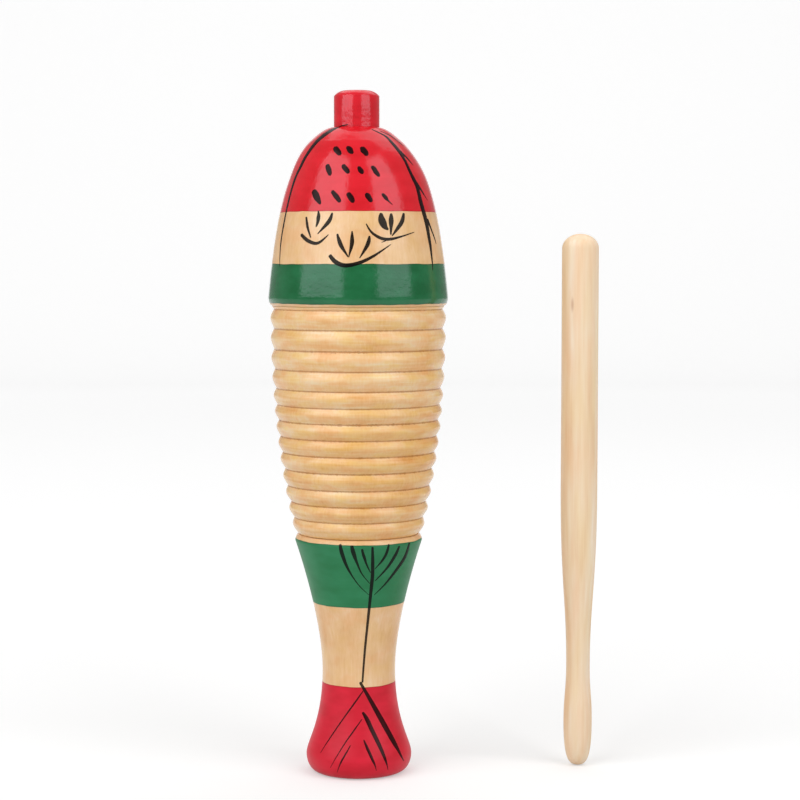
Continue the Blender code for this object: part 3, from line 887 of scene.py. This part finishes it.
def paintStrokes(name, targets, strokes, material):
    shapes = bpy.context.evaluated_depsgraph_get()
    surfaces = [BVHTree.FromObject(target, shapes) for target in targets]
    films = [layStroke(surfaces, stroke) for stroke in strokes]
    makeActive(films[0])
    for film in films:
        film.select_set(True)
    bpy.ops.object.join()
    layer = bpy.context.object
    layer.name = layer.data.name = name
    bpy.ops.object.mode_set(mode="EDIT")
    bpy.ops.mesh.select_all(action="SELECT")
    bpy.ops.mesh.remove_doubles(threshold=strokeFilm["weld"] * mm)
    bpy.ops.mesh.duplicate()  # the same strokes on the other side
    bpy.ops.transform.rotate(value=math.pi, orient_axis="Z", center_override=(0, 0, 0))
    bpy.ops.object.mode_set(mode="OBJECT")
    thick = layer.modifiers.new("filmThickness", "SOLIDIFY")
    thick.thickness = strokeFilm["sink"] * mm
    thick.offset = -1.0
    bpy.ops.object.modifier_apply(modifier=thick.name)
    bpy.ops.object.shade_smooth_by_angle(angle=math.radians(strokeFilm["smoothAngle"]))
    dress(layer, material, "guiro")


headBlack = brushedBlack("brushedBlackHead", head)
tailBlack = brushedBlack("brushedBlackTail", tail)
paintStrokes("headBrushStrokes", [paintedHead, paintedMouth], headStrokes, headBlack)
paintStrokes("tailBrushStrokes", [paintedTail], tailStrokes, tailBlack)
print("brush strokes laid:", len(headStrokes), "on the head,", len(tailStrokes), "on the tail")


# studio: white floor running up into a white wall, a tall soft lamp on each side, one above
studio = {
    "floorBack": 2.4, "floorFront": 3.6, "floorSide": 3.0, "floorDrop": 0.0002,  # m
    "wallSide": 0.8, "wallHeight": 1.3, "wallDrop": 0.00019,  # m
    "bendRun": 0.5, "bendRadius": 0.49, "bendSegments": 24,  # m
    "paperWhite": 0.64, "glowNear": 0.372, "glowFar": 0.652, "farAway": 1.75,  # the last in m
    "air": 0.36,
    "lamps": {
        # place, what it faces, width, height in m; radiance, where 1 is white
        "leftSoftbox": ((-0.746, -0.667, 1.10), (0, 0, 1.10), 1.14, 1.70, 2.36),
        "rightSoftbox": ((0.752, -0.659, 1.10), (0, 0, 1.10), 0.86, 1.70, 2.16),
        "topSoftbox": ((0.16, 0.63, 1.22), (0, 0, 0.195), 1.5, 0.95, 1.0),
    },
}

clearSelection()
bpy.ops.mesh.primitive_plane_add(size=2, location=(0, 0, 0))
floor = bpy.context.object
floor.name = "whiteFloor"
bpy.ops.object.mode_set(mode="EDIT")
halfLength = (studio["floorBack"] + studio["floorFront"]) / 2
middle = (studio["floorBack"] - studio["floorFront"]) / 2
bpy.ops.transform.resize(value=(studio["floorSide"], halfLength, 1))
bpy.ops.transform.translate(value=(0, middle, -studio["floorDrop"]))
bpy.ops.object.mode_set(mode="OBJECT")

clearSelection()
bpy.ops.mesh.primitive_plane_add(size=2, location=(0, 0, 0))
wall = bpy.context.object
wall.name = "whiteWall"
bpy.ops.object.mode_set(mode="EDIT")
halfLength = studio["bendRun"] / 2
middle = studio["floorBack"] - halfLength
bpy.ops.transform.resize(value=(studio["wallSide"], halfLength, 1))
bpy.ops.transform.translate(value=(0, middle, -studio["wallDrop"]))
bpy.ops.mesh.select_all(action="DESELECT")
bpy.ops.object.mode_set(mode="OBJECT")
for vertex in wall.data.vertices:
    vertex.select = vertex.co.y > middle
bpy.ops.object.mode_set(mode="EDIT")
bpy.ops.mesh.select_mode(type="VERT")
bpy.ops.mesh.extrude_region_move(TRANSFORM_OT_translate={"value": (0, 0, studio["wallHeight"])})
bpy.ops.object.mode_set(mode="OBJECT")
bend = wall.modifiers.new("sweepBend", "BEVEL")
bend.width = studio["bendRadius"]
bend.segments = studio["bendSegments"]
makeActive(wall)
bpy.ops.object.modifier_apply(modifier=bend.name)
bpy.ops.object.shade_smooth()

# white studio paper: matt, and as white to the eye and in reflections as a lit sheet is
paper, tree, coords = newFinish("whiteStudioPaper")
sees = addNode(tree, "LightPath")
direct = addNode(
    tree, "Math", {"operation": "MAXIMUM"},
    {0: (sees, "Is Camera Ray"), 1: (sees, "Is Glossy Ray")},
)
seen = addNode(
    tree, "Math", {"operation": "MAXIMUM"}, {0: (direct, 0), 1: (sees, "Is Transmission Ray")},
)
away = addNode(tree, "VectorMath", {"operation": "LENGTH"}, {0: (coords, "Object")})
# less lamp light falls further off
fade = {"From Max": studio["farAway"], "To Min": studio["glowNear"], "To Max": studio["glowFar"]}
even = addNode(tree, "MapRange", fade, {"Value": (away, "Value")})
strength = addNode(tree, "Math", {"operation": "MULTIPLY"}, {0: (seen, 0), 1: (even, 0)})
glow = addNode(tree, "Emission", {"Color": (1, 1, 1, 1)}, {"Strength": (strength, 0)})
matt = addNode(tree, "BsdfDiffuse", {"Color": (studio["paperWhite"],) * 3 + (1,)})
lit = addNode(tree, "AddShader", {}, {0: (glow, 0), 1: (matt, 0)})
addNode(tree, "OutputMaterial", {}, {"Surface": (lit, 0)})
for sheet in (floor, wall):
    sheet.data.materials.append(paper)

for name, (place, aim, width, height, radiance) in studio["lamps"].items():
    clearSelection()
    bpy.ops.object.light_add(type="AREA", location=place)
    lamp = bpy.context.object
    lamp.name = name
    lamp.rotation_euler = (Vector(aim) - Vector(place)).to_track_quat("-Z", "Y").to_euler()
    lamp.data.shape = "RECTANGLE"
    lamp.data.size = width
    lamp.data.size_y = height
    lamp.data.energy = radiance * math.pi * width * height

world = bpy.data.worlds.new("studioAir")
bpy.context.scene.world = world
world.use_nodes = True
world.node_tree.nodes["Background"].inputs["Color"].default_value = (1, 1, 1, 1)
world.node_tree.nodes["Background"].inputs["Strength"].default_value = studio["air"]
print("studio lit")
